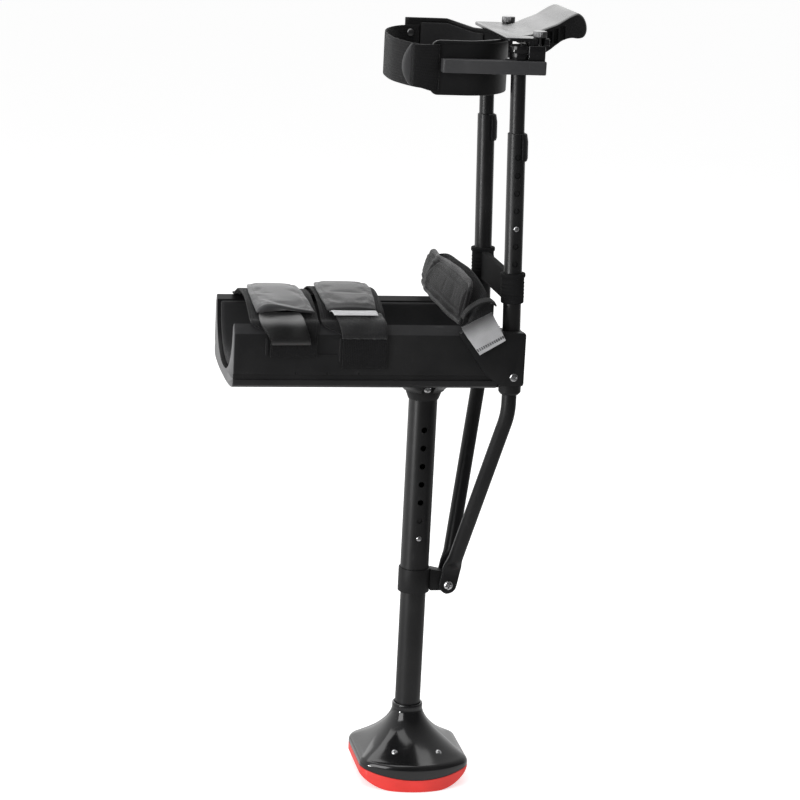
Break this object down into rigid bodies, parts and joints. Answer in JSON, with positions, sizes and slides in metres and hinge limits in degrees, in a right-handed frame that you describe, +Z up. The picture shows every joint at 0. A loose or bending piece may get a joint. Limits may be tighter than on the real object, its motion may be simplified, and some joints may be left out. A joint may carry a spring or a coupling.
{
  "type": "hands-free crutch",
  "caption": "Knee crutch with padded shin tray, strapped calf and knee, telescopic leg on a rocker foot, and telescopic posts with thigh cuff and grip.",
  "frame": {"origin": "middle of the leg's axis at floor level, on the flat of the rocker sole", "axes": "+X forward to the grip and the knee, +Y to the far side of the picture, +Z up"},
  "size_m": [0.364, 0.194, 0.8572],
  "materials": {
    "black_paint": "satin black powder coat",
    "black_plastic": "matte black moulded plastic",
    "gloss_plastic": "glossy black moulded plastic",
    "red_rubber": "matte red rubber",
    "bright_steel": "bright plated steel",
    "spring_steel": "plain spring steel",
    "foam": "black foam with a cloth face",
    "dark_webbing": "black woven webbing",
    "grey_satin": "dark grey satin cloth",
    "quilted_fabric": "dark grey quilted cloth"
  },
  "bodies": {
    "frame": {"leg_tube": "black_paint", "leg_collar": "black_plastic", "strut_bolt": "bright_steel", "strut_nut": "bright_steel", "strut_near": "black_paint", "strut_far": "black_paint", "leg_socket": "black_plastic", "socket_bolt": "bright_steel", "socket_nut": "bright_steel", "tray_shell": "black_plastic", "tray_liner": "foam", "knee_bracket_near": "black_plastic", "knee_bracket_far": "black_plastic", "knee_screw_near": "bright_steel", "knee_screw_far": "bright_steel", "post_tube_near": "black_paint", "post_tube_far": "black_paint", "post_clip_near": "black_plastic", "post_clip_far": "black_plastic", "crossbar": "black_plastic", "calf_strap_rear": "dark_webbing", "calf_strap_front": "dark_webbing", "calf_pad_rear": "grey_satin", "calf_pad_front": "grey_satin", "knee_pad": "quilted_fabric", "knee_strap": "dark_webbing"},
    "lower_leg": {"foot_sole": "red_rubber", "foot_cover": "gloss_plastic", "foot_core": "black_plastic", "foot_screw_1": "bright_steel", "foot_screw_2": "bright_steel", "foot_screw_3": "bright_steel", "foot_screw_4": "bright_steel", "lower_leg_tube": "black_paint", "leg_spring_clip": "spring_steel"},
    "leg_button": {"leg_button": "bright_steel"},
    "thigh_frame": {"thigh_tube_near": "black_paint", "thigh_tube_far": "black_paint", "post_spring_near": "spring_steel", "post_spring_far": "spring_steel", "thigh_bracket_near": "black_plastic", "thigh_bracket_far": "black_plastic", "handle": "gloss_plastic", "cuff_shell": "black_plastic", "cuff_pad_near": "foam", "cuff_pad_far": "foam", "cuff_band": "dark_webbing", "band_rivet": "bright_steel"},
    "post_button_near": {"post_button_near": "bright_steel"},
    "post_button_far": {"post_button_far": "bright_steel"},
    "knob_near": {"knob_near": "bright_steel"},
    "knob_far": {"knob_far": "bright_steel"}
  },
  "joints": [
    {"name": "leg_length", "type": "slide", "parent": "frame", "child": "lower_leg", "axis": [0, 0, 1], "range_m": [0, 0.123]},
    {"name": "thigh_height", "type": "slide", "parent": "frame", "child": "thigh_frame", "axis": [-0.0319, 0, 0.9995], "range_m": [-0.0376, 0.0752]},
    {"name": "leg_button_press", "type": "slide", "parent": "lower_leg", "child": "leg_button", "axis": [0, 1, 0], "range_m": [0, 0.0042], "stiffness_N_per_m": 700, "springref_m": -0.001, "deforming": ["leg_spring_clip"]},
    {"name": "post_button_near_press", "type": "slide", "parent": "thigh_frame", "child": "post_button_near", "axis": [0, 1, 0], "range_m": [0, 0.0036], "stiffness_N_per_m": 700, "springref_m": -0.001, "deforming": ["post_spring_near"]},
    {"name": "post_button_far_press", "type": "slide", "parent": "thigh_frame", "child": "post_button_far", "axis": [0, -1, 0], "range_m": [0, 0.0036], "stiffness_N_per_m": 700, "springref_m": -0.001, "deforming": ["post_spring_far"]},
    {"name": "knob_turn_near", "type": "hinge", "parent": "thigh_frame", "child": "knob_near", "pos_m": [0.088, -0.074, 0.8333], "axis": [0, 0, 1], "continuous": true},
    {"name": "knob_turn_far", "type": "hinge", "parent": "thigh_frame", "child": "knob_far", "pos_m": [0.088, 0.074, 0.8333], "axis": [0, 0, 1], "continuous": true}
  ]
}
